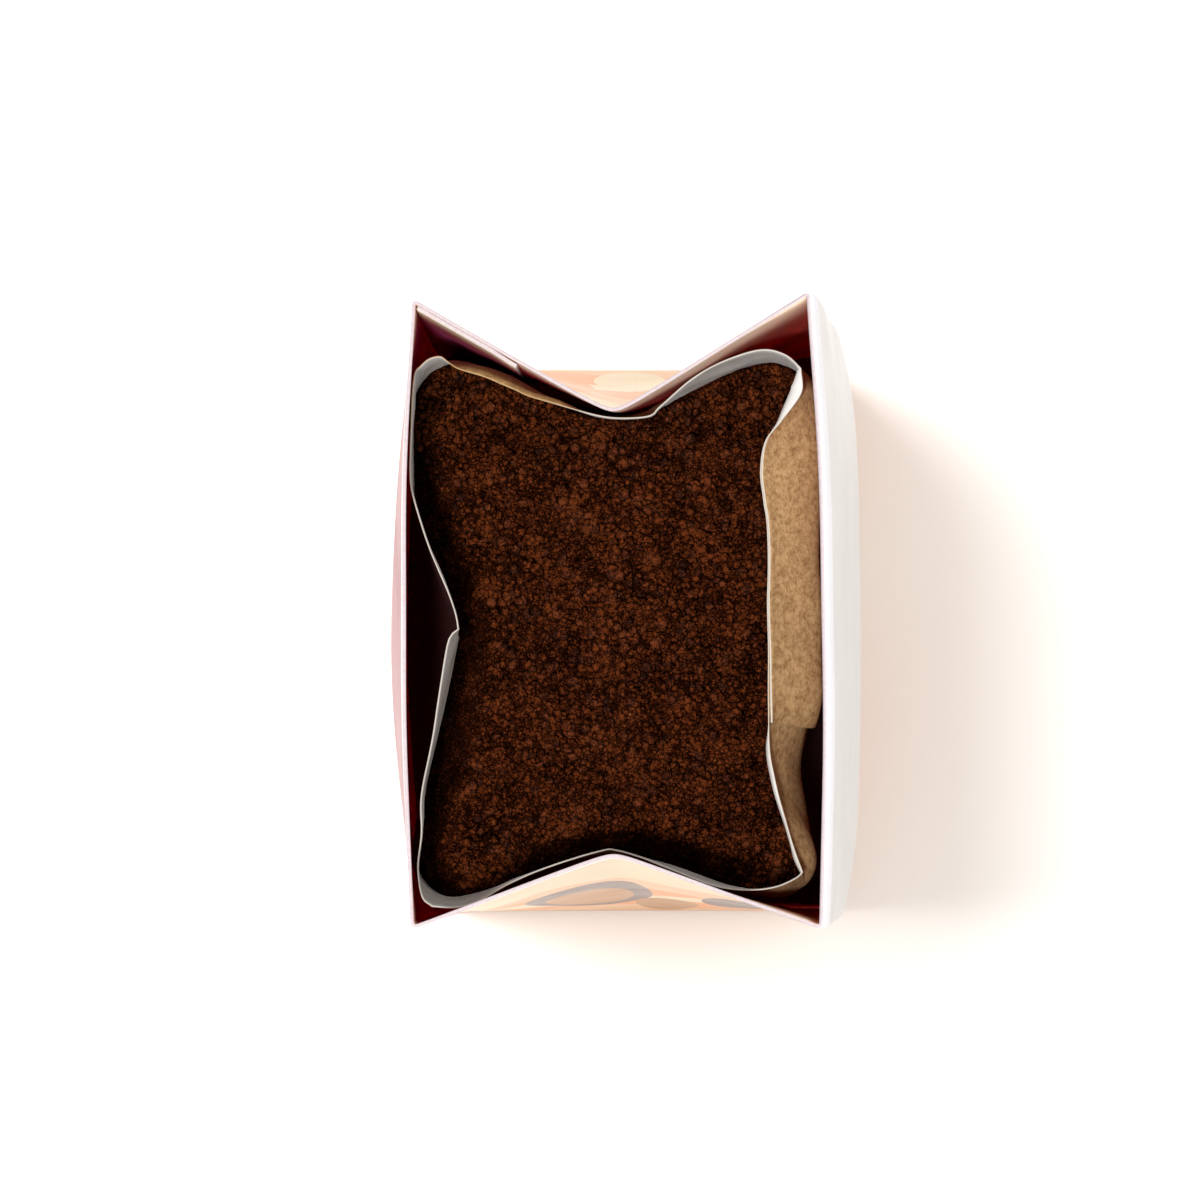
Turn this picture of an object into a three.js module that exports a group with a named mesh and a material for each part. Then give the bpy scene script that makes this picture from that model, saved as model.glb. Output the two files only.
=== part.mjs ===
// An opened coffee bag: a stiff board pack with folded side gussets, a kraft paper liner bag standing
// inside it, and the ground coffee that fills the liner.
// Millimetres, +Z up. The wide faces look along -X and +X, the gussets along -Y (near) and +Y (far).
// The origin is the middle of the whole object's footprint, on the surface that it stands on.

import * as THREE from 'three';

// The board pack, measured on its outer face
const PACK_HEIGHT = 170;
const FACE_WIDTH = 110;
const BOARD = 0.7;
const BASE_WIDTH = 77;
const BASE_EDGE = 1.5;
const BASE_SHIFT = 1.2;
const MOUTH_LEFT = -35.2;
const MOUTH_RIGHT = 34.5;
const MOUTH_SKEW = 1;
const MOUTH_LIFT = 1.3;
const OPENING = { from: -0.1, to: 1.25 };
const FAR_FOLD = 19.2;
const NEAR_FOLD = 12;
const FOLD_ROUND = 0.06;
const MOUTH_BOW = 1.7;
const LEFT_SWELL = { face: 5.6, power: 2.2, corner: 0.7 };
const RIGHT_SWELL = { face: 3.4, power: 4, corner: 3.2 };
const SWELL_POWER = 0.9;
const PACK_CORNER = 1;
const TAB_LENGTH = 20;
const TAB_BOARD = 0.7;
const PACK_COUNTS = { far: 20, right: 14, near: 20, left: 14 };
const PACK_LEVELS = [1.5, 20, 45, 70, 95, 120, 140, 156, 170];

// The paper liner
const PAPER = 0.4;
const LINER_FLOOR = 1.1;
const LINER_CORNER = 9;
const LINER_FOOT_CORNER = 6;
const LINER_EDGE = 1;
const LINER_NEST = 2;
const SHOULDER = { left: -37.2, right: 35.8, far: 46.8, near: -50.9, farFold: 10.8, nearFold: 8 };
const SHOULDER_START = 80;
const SHOULDER_HEIGHT = 132;
const FOLD_REACH = 0.8;
const PINCH = { y: -26, depth: 3, spread: 8 };
const DENT = { y: -3, depth: 8.6, far: 25, near: 47 };
const RIM_HEIGHT = 160;
const RIM_WAVE = 0.7;
const WAVE_LENGTH = { x: 44, y: 69 };
const COLLAR_OVERRUN = 4;
const FLAP = { start: 149, from: 31, to: 35.5 };
const SEAM_SIDE = 20;
const SEAM_END = -19;
const SEAM_LAP = 15;
const SEAM_PLY = 0.35;
const LINER_COUNTS = { far: 22, right: 22, near: 20, left: 24 };
const LINER_LEVELS = [2.2, 45, 90, 118, 132];
const COLLAR_LEVELS = [139, 145, 150, 155, 160];

// The crumpled rim of the liner: the points where it turns, run by run, clockwise from above
const RIM = {
  far: [
    [-34.5, 44.1], [-32, 45.6], [-29, 44.6], [-22.7, 42], [-14.6, 38.3], [-6.5, 36], [0, 34.8],
    [5.6, 35.3], [13.2, 41.8], [19.1, 45.1], [25.5, 46.9], [29.8, 45.9], [32.6, 43.5],
  ],
  right: [
    [32.6, 43.5], [32.8, 39], [29.3, 33.9], [26.2, 29], [25.6, 23], [26.8, 12], [26.9, -19],
    [28.1, -29], [30.4, -37.8], [32.9, -45.6],
  ],
  near: [
    [32.9, -45.6], [28.1, -47.8], [20, -48.3], [10, -45.1], [0, -41.6], [-10.6, -43.8], [-18.6, -47.1],
    [-24.5, -49.5], [-29, -50.9], [-33.2, -49.8],
  ],
  left: [
    [-33.2, -49.8], [-35, -44.5], [-34.3, -34], [-32, -18.9], [-29.7, -5.2], [-27.8, -2.5], [-28.8, 1.4],
    [-32.9, 11.5], [-35.9, 22], [-36.1, 34], [-34.5, 44.1],
  ],
};

// The coffee
const COFFEE_LEVEL = 132;
const COFFEE_GAP = 0.75;
const COFFEE_GRID = { across: 44, along: 62 };
const GROUND_BUMP = 0.75;
const HOLLOW_DEPTH = 1.1;
const HOLLOW_SPACING = 44;
const EDGE_RISE = 0.8;
const EDGE_REACH = { x: 36, y: 50 };
const GROUND_SEED = 41;

const board = new THREE.MeshStandardMaterial({ color: 0xe9c9bd, roughness: 0.45, metalness: 0 });
const kraft = new THREE.MeshStandardMaterial({ color: 0xb8935f, roughness: 0.85, metalness: 0 });
const ground = new THREE.MeshStandardMaterial({ color: 0x3a1a0c, roughness: 0.9, metalness: 0 });

/** Smooth step from 0 at a to 1 at b. */
function ease(a, b, value) {
  return THREE.MathUtils.smoothstep(value, a, b);
}

/** Seeded random numbers between 0 and 1. */
function seededRandom(seed) {
  let state = seed;
  return () => {
    state = (state * 1664525 + 1013904223) % 4294967296;
    return state / 4294967296;
  };
}

/**
 * The straight-sided rectangle under a bag's outline, with round corners, as four runs of even points.
 * Each run goes clockwise from the middle of one corner to the middle of the next.
 */
function roundedRuns({ left, right, far, near, corner, counts }) {
  const quarter = Math.PI / 4;
  const side = (x1, y1, x2, y2, start, count) => {
    const path = new THREE.Path();
    path.absarc(x1, y1, corner, start, start - quarter, true);
    path.absarc(x2, y2, corner, start - quarter, start - 2 * quarter, true);
    return path.getSpacedPoints(count);
  };
  const x1 = left + corner;
  const x2 = right - corner;
  const y1 = near + corner;
  const y2 = far - corner;
  return {
    far: side(x1, y2, x2, y2, 3 * quarter, counts.far),
    right: side(x2, y2, x2, y1, quarter, counts.right),
    near: side(x2, y1, x1, y1, -quarter, counts.near),
    left: side(x1, y1, x1, y2, -3 * quarter, counts.left),
  };
}

/** Joins the four runs to one closed ring, each shared corner once. */
function ringOf(runs) {
  return ['far', 'right', 'near', 'left'].flatMap((name) => runs[name].slice(0, -1));
}

/** Applies a shape function to every point of the four runs. */
function shaped(runs, shape) {
  return Object.fromEntries(Object.entries(runs).map(([name, points]) => [name, points.map(shape)]));
}

/** Moves each point of a clockwise ring inwards by a distance, which may differ from point to point. */
function inset(ring, distance) {
  const count = ring.length;
  return ring.map((point, i) => {
    const before = new THREE.Vector2().subVectors(point, ring[(i + count - 1) % count]).normalize();
    const after = new THREE.Vector2().subVectors(ring[(i + 1) % count], point).normalize();
    const along = before.clone().add(after).normalize();
    const mitre = Math.max(before.dot(along), 0.5);
    const amount = (typeof distance === 'function' ? distance(point, i) : distance) / mitre;
    return new THREE.Vector2(point.x + along.y * amount, point.y - along.x * amount);
  });
}

/** Puts a flat ring at a height, which may be a function of the point. */
function raise(ring, height) {
  return ring.map((p) => new THREE.Vector3(p.x, p.y, typeof height === 'function' ? height(p) : height));
}

/** The middle of a ring, at its own height. */
function middle(ring) {
  const sum = ring.reduce((total, p) => total.add(p), new THREE.Vector3());
  return sum.divideScalar(ring.length);
}

/** A closed body through clockwise rings of equal count, shut by a fan at its first and its last ring. */
function loft(rings) {
  const count = rings[0].length;
  const points = rings.flat();
  const index = [];
  const first = points.push(middle(rings[0])) - 1;
  const last = points.push(middle(rings[rings.length - 1])) - 1;
  for (let i = 0; i < count; i += 1) {
    const j = (i + 1) % count;
    index.push(first, i, j);
    for (let r = 0; r < rings.length - 1; r += 1) {
      const low = r * count;
      const high = low + count;
      index.push(low + i, high + i, high + j, low + i, high + j, low + j);
    }
    const top = (rings.length - 1) * count;
    index.push(top + j, top + i, last);
  }
  const body = new THREE.BufferGeometry().setFromPoints(points);
  body.setIndex(index);
  return body;
}

/** How far a gusset's fold reaches in at a place across it, 1 at the fold and 0 at the corners. */
function straightFold(across) {
  const edge = Math.hypot(1, FOLD_ROUND) - FOLD_ROUND;
  return 1 - (Math.hypot(across, FOLD_ROUND) - FOLD_ROUND) / edge;
}

/** The same for the soft liner: a raised cosine that dies out before the corners. */
function softFold(across) {
  const reach = Math.min(Math.abs(across) / FOLD_REACH, 1);
  return Math.cos((reach * Math.PI) / 2) ** 2;
}

/**
 * The board pack's outline at a height, or one that nests inside it by a margin.
 * The mouth is narrow and folded in, the body swells, and the base is flat.
 */
function packRuns(height, margin, corner, counts) {
  const t = height / PACK_HEIGHT;
  const open = 1 - ease(OPENING.from, OPENING.to, t);
  const swell = Math.abs(Math.sin(Math.PI * t)) ** SWELL_POWER;
  const { lerp } = THREE.MathUtils;
  const left = lerp(MOUTH_LEFT, BASE_SHIFT - BASE_WIDTH / 2, open) - LEFT_SWELL.corner * swell;
  const right = lerp(MOUTH_RIGHT, BASE_SHIFT + BASE_WIDTH / 2, open) + RIGHT_SWELL.corner * swell;
  const half = FACE_WIDTH / 2;
  const runs = roundedRuns({
    left: left + margin, right: right - margin, far: half - margin, near: margin - half, corner, counts,
  });
  const centre = (left + right) / 2;
  const reach = (right - left) / 2;
  return shaped(runs, (p) => {
    const across = (p.x - centre) / reach;
    const along = p.y / half;
    const bow = MOUTH_BOW * t ** 2 * (1 - along ** 2);
    const leftOut = bow + LEFT_SWELL.face * swell * (1 - Math.abs(along) ** LEFT_SWELL.power);
    const rightOut = bow + RIGHT_SWELL.face * swell * (1 - Math.abs(along) ** RIGHT_SWELL.power);
    const twist = t ** 3 * Math.max(across, 0);
    const x = p.x - ((1 - across) / 2) * leftOut + ((1 + across) / 2) * rightOut - MOUTH_SKEW * twist * along;
    const fold = along > 0 ? -FAR_FOLD : NEAR_FOLD;
    const lift = MOUTH_LIFT * twist * Math.max(along, 0);
    return new THREE.Vector2(x, p.y + lift + fold * t * straightFold(across) * Math.abs(along));
  });
}

/** The pack's own outline at a height. */
function packRing(height) {
  return ringOf(packRuns(height, 0, PACK_CORNER, PACK_COUNTS));
}

/** The pack: board from the base's edge up to the rim and down inside, with the glue tab in a gusset. */
function packBody() {
  const corner = packRing(PACK_HEIGHT)[0];
  const thickness = (p, i) => {
    const onTab = i < PACK_COUNTS.far / 2 && Math.hypot(p.x - corner.x, p.y - corner.y) < TAB_LENGTH;
    return BOARD + (onTab ? TAB_BOARD : 0);
  };
  const outside = PACK_LEVELS.map((z) => raise(packRing(z), z));
  const inside = PACK_LEVELS.slice(1).reverse().map((z) => raise(inset(packRing(z), thickness), z));
  const foot = raise(inset(packRing(0), BASE_EDGE), 0);
  const floor = raise(inset(packRing(PACK_LEVELS[0]), thickness), BOARD);
  return loft([foot, ...outside, ...inside, floor]);
}

/** The liner's outline at its shoulder, where it stands free of the pack and its folds are soft. */
function shoulderRuns(counts) {
  const { left, right, far, near, farFold, nearFold } = SHOULDER;
  const runs = roundedRuns({ left, right, far, near, corner: LINER_CORNER, counts });
  const centre = (left + right) / 2;
  const reach = (right - left) / 2;
  return shaped(runs, (p) => {
    const across = (p.x - centre) / reach;
    const push = p.y > 0 ? -farFold * (p.y / far) : nearFold * (p.y / near);
    const pinch = PINCH.depth * Math.exp(-(((p.y - PINCH.y) / PINCH.spread) ** 2)) * Math.max(across, 0);
    const arm = p.y > DENT.y ? DENT.far : DENT.near;
    const dent = DENT.depth * Math.max(1 - Math.abs(p.y - DENT.y) / arm, 0) * Math.max(-across, 0);
    return new THREE.Vector2(p.x - pinch + dent, p.y + push * softFold(across));
  });
}

/** The liner's outline up to its shoulder: it fills the pack low down and draws in towards the shoulder. */
function linerRuns(height, counts) {
  const draw = ease(SHOULDER_START, SHOULDER_HEIGHT, height);
  const corner = THREE.MathUtils.lerp(LINER_FOOT_CORNER, LINER_CORNER, draw);
  const nested = packRuns(height, LINER_NEST, corner, counts);
  const shoulder = shoulderRuns(counts);
  return Object.fromEntries(Object.entries(nested).map(([name, points]) => (
    [name, points.map((p, i) => p.lerp(shoulder[name][i], draw))]
  )));
}

/** The liner's crumpled rim, with as many points as the outline below it. */
function rimRing() {
  const runs = Object.fromEntries(Object.entries(RIM).map(([name, points]) => {
    const curve = new THREE.SplineCurve(points.map(([x, y]) => new THREE.Vector2(x, y)));
    return [name, curve.getSpacedPoints(LINER_COUNTS[name])];
  }));
  return ringOf(runs);
}

/**
 * The collar between the shoulder and the rim, where each point eases from one outline to the other.
 * On the right it stands upright for longer and leans in only near the rim, as a flap.
 */
function collarRing(height) {
  const shoulder = ringOf(shoulderRuns(LINER_COUNTS));
  const rim = rimRing();
  const reach = (p, z) => {
    const start = THREE.MathUtils.lerp(SHOULDER_HEIGHT, FLAP.start, ease(FLAP.from, FLAP.to, p.x));
    return ease(start, RIM_HEIGHT + COLLAR_OVERRUN, z);
  };
  return shoulder.map((p, i) => p.clone().lerp(rim[i], reach(p, height) / reach(p, RIM_HEIGHT)));
}

/** The liner bag: thin paper, lapped over itself down the right side, open at its rim. */
function linerBody() {
  const seam = (p) => {
    const lap = (p.y - SEAM_END) / SEAM_LAP;
    return p.x > SEAM_SIDE && lap > 0 && lap < 1 ? SEAM_PLY * (lap - 1) : 0;
  };
  const wave = (p) => RIM_WAVE * Math.sin(2 * Math.PI * (p.x / WAVE_LENGTH.x + p.y / WAVE_LENGTH.y));
  const outline = (z) => (z > SHOULDER_HEIGHT ? collarRing(z) : ringOf(linerRuns(z, LINER_COUNTS)));
  const rises = (z) => (p) => z + wave(p) * ease(SHOULDER_HEIGHT, RIM_HEIGHT, z);
  const levels = [...LINER_LEVELS, ...COLLAR_LEVELS];
  const outside = levels.map((z) => raise(inset(outline(z), seam), rises(z)));
  const inside = levels.slice(1).reverse().map((z) => raise(inset(outline(z), PAPER), rises(z)));
  const foot = raise(inset(outline(LINER_LEVELS[0]), LINER_EDGE), LINER_FLOOR);
  const floor = raise(inset(outline(LINER_LEVELS[0]), PAPER + LINER_EDGE), LINER_FLOOR + PAPER);
  return loft([foot, ...outside, ...inside, floor]);
}

/**
 * A grid stretched between four edge runs.
 * Each point is the sum of its places on the two straight ways across, less its place between the corners.
 */
function stretchedGrid(runs, across, along) {
  const left = runs.left.slice();
  const right = runs.right.slice().reverse();
  const far = runs.far.slice();
  const near = runs.near.slice().reverse();
  return Array.from({ length: along + 1 }, (_, j) => Array.from({ length: across + 1 }, (__, i) => {
    const u = i / across;
    const v = j / along;
    const mix = (a, b, t) => a.clone().lerp(b, t);
    const corners = mix(mix(left[0], right[0], u), mix(left[along], right[along], u), v);
    return mix(left[j], right[j], u).add(mix(near[i], far[i], v)).sub(corners);
  }));
}

/** The height of the coffee's top: soft hollows, a slight rise at the paper, and the grounds' bumps. */
function coffeeHeight(p, random) {
  const turn = (2 * Math.PI) / HOLLOW_SPACING;
  const hollow = 1 - Math.sin(p.x * turn + 1) * Math.cos((p.y - p.x / 3) * turn);
  const rise = EDGE_RISE * ease(0.5, 1, Math.hypot(p.x / EDGE_REACH.x, p.y / EDGE_REACH.y));
  return COFFEE_LEVEL + rise - (HOLLOW_DEPTH * hollow) / 2 + GROUND_BUMP * (2 * random() - 1);
}

/** The liner's inside at a height, drawn in by a margin, as four runs that the coffee's grid can meet. */
function coffeeRuns(height, margin) {
  const { across, along } = COFFEE_GRID;
  const counts = { far: across, near: across, left: along, right: along };
  const ring = inset(ringOf(linerRuns(height, counts)), PAPER + margin);
  ring.push(ring[0]);
  return {
    far: ring.slice(0, across + 1),
    right: ring.slice(across, across + along + 1),
    near: ring.slice(across + along, 2 * across + along + 1),
    left: ring.slice(2 * across + along),
  };
}

/** The coffee: it fills the liner to its level, with a grid of bumps on top and sides along the paper. */
function coffeeBody() {
  const { across, along } = COFFEE_GRID;
  const random = seededRandom(GROUND_SEED);
  const foot = ringOf(coffeeRuns(LINER_LEVELS[0], COFFEE_GAP + LINER_EDGE));
  const floor = raise(foot, LINER_FLOOR + PAPER + COFFEE_GAP);
  const walls = LINER_LEVELS.slice(1, -1).map((z) => raise(ringOf(coffeeRuns(z, COFFEE_GAP)), z));
  const grid = stretchedGrid(coffeeRuns(COFFEE_LEVEL, COFFEE_GAP), across, along).flat();
  const points = [floor, ...walls].flat();
  const count = floor.length;
  const base = points.push(middle(floor)) - 1;
  const gridStart = points.length;
  points.push(...grid.map((p) => new THREE.Vector3(p.x, p.y, coffeeHeight(p, random))));

  const at = (i, j) => gridStart + j * (across + 1) + i;
  const columns = Array.from({ length: across }, (_, i) => i);
  const rows = Array.from({ length: along }, (_, j) => j);
  const rim = [
    ...columns.map((i) => at(i, along)),
    ...rows.map((j) => at(across, along - j)),
    ...columns.map((i) => at(across - i, 0)),
    ...rows.map((j) => at(0, j)),
  ];
  const vertex = (r, i) => (r > walls.length ? rim[i] : r * count + i);
  const index = [];
  for (let i = 0; i < count; i += 1) {
    const j = (i + 1) % count;
    index.push(base, i, j);
    for (let r = 0; r <= walls.length; r += 1) {
      index.push(vertex(r, i), vertex(r + 1, i), vertex(r + 1, j));
      index.push(vertex(r, i), vertex(r + 1, j), vertex(r, j));
    }
  }
  for (let j = 0; j < along; j += 1) {
    for (let i = 0; i < across; i += 1) {
      index.push(at(i, j), at(i + 1, j), at(i + 1, j + 1), at(i, j), at(i + 1, j + 1), at(i, j + 1));
    }
  }
  const body = new THREE.BufferGeometry().setFromPoints(points);
  body.setIndex(index);
  return body;
}

/** A named piece with its material. */
function piece(name, geometry, material) {
  const mesh = new THREE.Mesh(geometry, material);
  mesh.name = name;
  return mesh;
}

const bag = new THREE.Group();
bag.add(piece('outer_pack', packBody(), board));
bag.add(piece('liner_bag', linerBody(), kraft));
bag.add(piece('ground_coffee', coffeeBody(), ground));

const bounds = new THREE.Box3().setFromObject(bag);
const centre = bounds.getCenter(new THREE.Vector3());
bag.position.set(-centre.x, -centre.y, -bounds.min.z);

export default bag;
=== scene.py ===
import bpy
import numpy as np
from mathutils import Matrix, Vector


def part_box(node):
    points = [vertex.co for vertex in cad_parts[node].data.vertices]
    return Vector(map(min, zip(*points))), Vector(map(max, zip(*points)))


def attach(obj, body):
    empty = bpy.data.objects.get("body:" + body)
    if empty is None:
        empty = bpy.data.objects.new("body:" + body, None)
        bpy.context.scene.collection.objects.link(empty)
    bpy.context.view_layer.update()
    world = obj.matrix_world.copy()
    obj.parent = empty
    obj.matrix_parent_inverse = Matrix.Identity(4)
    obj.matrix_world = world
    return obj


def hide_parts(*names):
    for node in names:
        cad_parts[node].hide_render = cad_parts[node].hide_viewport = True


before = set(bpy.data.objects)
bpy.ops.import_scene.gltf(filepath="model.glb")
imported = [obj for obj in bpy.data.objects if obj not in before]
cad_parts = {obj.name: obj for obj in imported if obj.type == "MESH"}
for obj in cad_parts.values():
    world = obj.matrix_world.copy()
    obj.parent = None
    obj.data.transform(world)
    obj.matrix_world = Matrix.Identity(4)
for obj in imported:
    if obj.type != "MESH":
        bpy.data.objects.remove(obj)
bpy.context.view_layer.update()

# The pack.
# A bag of stiff printed board, satin coated: cut, creased and glued to a tube with two gussets. The mouth is
# folded in at the gussets, the body swells with its filling, and the base stands flat. Sizes are in mm.
MM = 0.001
BODY = "root"
PACK_HEIGHT = 170.0
FACE_WIDTH = 110.0
GUSSET_WIDTH = 77.0
AROUND = 2 * (FACE_WIDTH + GUSSET_WIDTH)
BOARD = 0.62
BASE_EDGE = 1.5
BASE_KNEE = 0.3
BASE_SHIFT = 1.2
MOUTH_LEFT = -35.2
MOUTH_RIGHT = 34.5
MOUTH_SKEW = 1.0
MOUTH_LIFT = 1.3
OPENING = (-0.1, 1.25)
FAR_FOLD = 19.2
NEAR_FOLD = 12.3
FOLD_ROUND = 0.05
FOLD_LEVEL = (-0.6, 0.5)
MOUTH_BOW = 1.7
LEFT_SWELL = {"face": 5.6, "power": 2.2, "corner": 0.7}
RIGHT_SWELL = {"face": 3.4, "power": 4.0, "corner": 3.2}
SWELL_POWER = 0.9
PACK_CORNER = 1.2
BOARD_WAVE = 0.22
WAVE_FREE = 25.0
BOARD_SINES = ((0, 9.0, 23.0, 1.0), (1, 13.0, -17.0, 0.0), (1, 7.0, 31.0, 2.0))
RIM_ROLL = {"out": 1.1, "height": 2.6, "foot": 125.0, "from": 20.0, "to": 32.0}
PACK_COUNTS = {"far": 128, "right": 96, "near": 128, "left": 96}
PACK_ROWS = 46
ROW_CROWD = 1.6
KNOTS = {"far": 3, "right": 2, "near": 3, "left": 2}
KNOT_PULL = 0.8
MITRE_LEAST = 0.5


def ease(low, high, value):
    """Smooth step: 0 up to low, 1 from high on, and 3 t squared less 2 t cubed between."""
    t = np.clip((value - low) / (high - low), 0.0, 1.0)
    return t * t * (3.0 - 2.0 * t)


def crowded(count, knots):
    """Steps over 0 to 1 that draw together at knots places: t less a sine with a root at each of them."""
    t = np.arange(count) / count
    waves = 2.0 * np.pi * (knots - 1)
    return t - KNOT_PULL * np.sin(waves * t) / waves


def rounded_ring(left, right, far, near, corner, counts):
    """A rectangle with round corners, clockwise from above, one row for each height.

    Each of the four runs is half a corner's arc, a straight and half the next arc, walked by its length. Its
    points crowd at its ends, and at the middle of a gusset too.
    """
    quarter = np.pi / 4
    x1, x2, y1, y2 = left + corner, right - corner, near + corner, far - corner
    runs = (("far", x1, y2, x2, y2, 3), ("right", x2, y2, x2, y1, 1), ("near", x2, y1, x1, y1, -1),
            ("left", x1, y1, x1, y2, -3))
    xs, ys = [], []
    for name, ax, ay, bx, by, start in runs:
        t = crowded(counts[name], KNOTS[name])[None, :]
        arc = corner * quarter
        straight = np.hypot(bx - ax, by - ay)
        s = t * (2 * arc + straight)
        along = np.clip((s - arc) / straight, 0.0, 1.0)
        angle = start * quarter - np.clip(s, 0, arc) / corner - np.clip(s - arc - straight, 0, arc) / corner
        xs.append(ax + (bx - ax) * along + corner * np.cos(angle))
        ys.append(ay + (by - ay) * along + corner * np.sin(angle))
    return np.concatenate(xs, 1), np.concatenate(ys, 1)


def straight_fold(across):
    """How far a stiff gusset's fold reaches in: 1 at the fold and 0 at the corners, along a hyperbola."""
    return 1 - (np.hypot(across, FOLD_ROUND) - FOLD_ROUND) / (np.hypot(1, FOLD_ROUND) - FOLD_ROUND)


def pack_outline(height, margin, corner, counts):
    """The pack's outline at each height, or one that nests inside it by margin.

    A rounded rectangle whose wide faces are pushed out by a power curve times a sine of the height, and whose
    gussets are pushed in at the middle in proportion to the height. The far one partly follows a quarter sine
    of the height instead, wholly so towards its corners, so that it is nearly upright at the mouth.
    """
    height = np.asarray(height, float).reshape(-1, 1)
    t = height / PACK_HEIGHT
    opened = 1 - ease(*OPENING, t)
    swell = np.abs(np.sin(np.pi * t)) ** SWELL_POWER
    base_left = BASE_SHIFT - GUSSET_WIDTH / 2
    base_right = BASE_SHIFT + GUSSET_WIDTH / 2
    left = MOUTH_LEFT + (base_left - MOUTH_LEFT) * opened - LEFT_SWELL["corner"] * swell
    right = MOUTH_RIGHT + (base_right - MOUTH_RIGHT) * opened + RIGHT_SWELL["corner"] * swell
    half = FACE_WIDTH / 2
    x, y = rounded_ring(left + margin, right - margin, half - margin, margin - half, corner, counts)
    across = (x - (left + right) / 2) / ((right - left) / 2)
    along = y / half
    bow = MOUTH_BOW * t ** 2 * (1 - along ** 2)
    left_out = bow + LEFT_SWELL["face"] * swell * (1 - np.abs(along) ** LEFT_SWELL["power"])
    right_out = bow + RIGHT_SWELL["face"] * swell * (1 - np.abs(along) ** RIGHT_SWELL["power"])
    twist = t ** 3 * np.maximum(across, 0)
    x = x - (1 - across) / 2 * left_out + (1 + across) / 2 * right_out - MOUTH_SKEW * twist * along
    level = (np.sin(np.pi / 2 * t) - t) * ease(*FOLD_LEVEL, np.abs(across))
    fold = np.where(along > 0, -FAR_FOLD * (t + level), NEAR_FOLD * t)
    y = y + MOUTH_LIFT * twist * np.maximum(along, 0) + fold * straight_fold(across) * np.abs(along)
    return x, y


def inset(x, y, distance):
    """Moves clockwise rings' points inwards along the mean of both edges' normals, lengthened as a mitre."""
    before = np.stack([x - np.roll(x, 1, 1), y - np.roll(y, 1, 1)], -1)
    after = np.roll(before, -1, 1)
    before /= np.linalg.norm(before, axis=-1, keepdims=True)
    after /= np.linalg.norm(after, axis=-1, keepdims=True)
    along = before + after
    along /= np.linalg.norm(along, axis=-1, keepdims=True)
    amount = distance / np.maximum((before * along).sum(-1), MITRE_LEAST)
    return x + along[..., 1] * amount, y - along[..., 0] * amount


def waved(x, y, z):
    """Rings with the slow unevenness of a folded and filled sheet, which grows from nought at the base.

    It is the mean of three crossing sines, each with its axis, its lengths across and up, and its phase.
    """
    waves = sum(np.sin((x, y)[axis] / length + z / rise + phase) for axis, length, rise, phase in BOARD_SINES)
    return inset(x, y, BOARD_WAVE * ease(0.0, WAVE_FREE, z) * (waves / len(BOARD_SINES)))


def rim_roll(x, z):
    """How far the right face stands out below its rolled rim: a quarter circle that dies out downwards."""
    r = RIM_ROLL
    drop = np.clip((PACK_HEIGHT - z) / r["height"], 0.0, 1.0)
    side = ease(r["from"], r["to"], x) * ease(r["foot"], PACK_HEIGHT - r["height"], z)
    return r["out"] * np.sqrt(1 - (1 - drop) ** 2) * side


def lines_of(x, y, z):
    """Rings as points: x and y by row and column, z by row or by point."""
    return np.stack([x, y, np.broadcast_to(z, x.shape)], -1)


def fill_mesh(name, points, corners, sizes, smooth, place):
    """A mesh object from arrays: points in millimetres, each face's corners in turn, and their number."""
    mesh = bpy.data.meshes.new(name)
    mesh.vertices.add(len(points))
    mesh.vertices.foreach_set("co", ((points + np.asarray(place)) * MM).astype(np.float32).ravel())
    mesh.loops.add(len(corners))
    mesh.loops.foreach_set("vertex_index", corners.astype(np.int32))
    mesh.polygons.add(len(sizes))
    starts = np.concatenate([[0], np.cumsum(sizes)[:-1]]).astype(np.int32)
    mesh.polygons.foreach_set("loop_start", starts)
    mesh.polygons.foreach_set("use_smooth", np.full(len(sizes), smooth))
    mesh.update(calc_edges=True)
    piece = bpy.data.objects.new(name, mesh)
    bpy.context.scene.collection.objects.link(piece)
    return piece


def shell_piece(name, rings, round_mm, run_mm, bands, place):
    """A bag's wall as one closed skin: up outside, over the rim, down inside, with a flat foot and floor.

    rings holds points by row and column. For the UV map, round_mm is each column's place round the sheet and
    run_mm each row's height. bands gives a material number for each row of faces.
    """
    rows, columns = rings.shape[:2]
    row, column = np.meshgrid(np.arange(rows - 1), np.arange(columns), indexing="ij")
    beside = (column + 1) % columns
    quads = np.stack([row * columns + column, (row + 1) * columns + column, (row + 1) * columns + beside,
                      row * columns + beside], -1).reshape(-1)
    foot = np.arange(columns)
    floor = ((rows - 1) * columns + np.arange(columns))[::-1]
    corners = np.concatenate([quads, foot, floor])
    sizes = np.concatenate([np.full((rows - 1) * columns, 4), [columns, columns]])
    piece = fill_mesh(name, rings.reshape(-1, 3), corners, sizes, True, place)
    u = np.stack([round_mm[column], round_mm[column], round_mm[column + 1], round_mm[column + 1]], -1)
    v = np.stack([run_mm[row], run_mm[row + 1], run_mm[row + 1], run_mm[row]], -1)
    uv = np.zeros((len(corners), 2), np.float32)
    uv[:len(quads), 0] = u.reshape(-1)
    uv[:len(quads), 1] = v.reshape(-1)
    piece.data.uv_layers.new(name="Sheet").data.foreach_set("uv", uv.ravel())
    numbers = np.concatenate([np.repeat(bands, columns), [bands[0], bands[-1]]]).astype(np.int32)
    piece.data.polygons.foreach_set("material_index", numbers)
    return piece


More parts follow.
